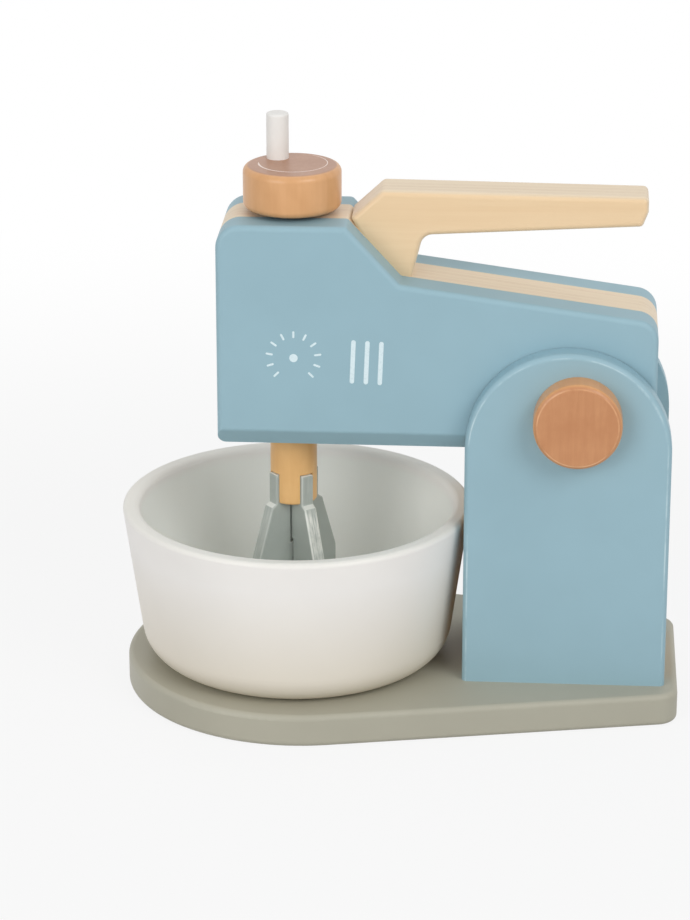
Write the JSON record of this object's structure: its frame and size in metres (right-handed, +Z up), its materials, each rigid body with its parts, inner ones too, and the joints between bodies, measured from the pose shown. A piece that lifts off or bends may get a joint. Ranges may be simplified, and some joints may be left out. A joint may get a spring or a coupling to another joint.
{
  "type": "toy stand mixer",
  "caption": "Wooden toy stand mixer with a tilting head, carry handle, crank knob that turns the whisk, and a lift-off bowl on a rounded base.",
  "frame": {"origin": "on the underside of the base, on the axis of the bowl and of the lowered whisk", "axes": "+Z up, +X from the bowl towards the column, +Y towards the rear upright, so the front of the mixer faces -Y"},
  "size_m": [0.2032, 0.1304, 0.2129],
  "materials": {
    "blue_paint": "satin paint on wood",
    "grey_paint": "satin paint on wood",
    "white_paint": "satin paint on wood",
    "whisk_paint": "satin paint on wood",
    "plywood": "clear lacquer on plywood",
    "beech": "clear lacquer on solid wood",
    "washer": "moulded",
    "steel": "zinc plated"
  },
  "bodies": {
    "stand": {"base_plate": "grey_paint", "base_screws": "steel", "upright_front": "blue_paint", "upright_rear": "blue_paint", "column_spacer": "beech", "column_dowels": "beech", "pivot_axle": "beech", "axle_disc_front": "beech", "axle_disc_rear": "beech"},
    "head": {"head_panel_front": "blue_paint", "head_panel_rear": "blue_paint", "head_core": "plywood", "head_dowels": "beech", "knob_washer": "washer"},
    "whisk_drive": {"drive_shaft": "beech", "knob": "beech", "crank_peg": "white_paint", "whisk_hub": "beech", "whisk_blade_top_notched": "whisk_paint", "whisk_blade_bottom_notched": "whisk_paint"},
    "bowl": {"bowl": "white_paint"}
  },
  "joints": [
    {"name": "head_tilt", "type": "hinge", "parent": "stand", "child": "head", "pos_m": [0.1027, 0, 0.1137], "axis": [0, 1, 0], "range_deg": [0, 58]},
    {"name": "whisk_spin", "type": "hinge", "parent": "head", "child": "whisk_drive", "pos_m": [0, 0, 0.09], "axis": [0, 0, 1], "continuous": true},
    {"name": "bowl_lift", "type": "slide", "parent": "stand", "child": "bowl", "axis": [0, 0, 1], "range_m": [0, 0.008]}
  ]
}
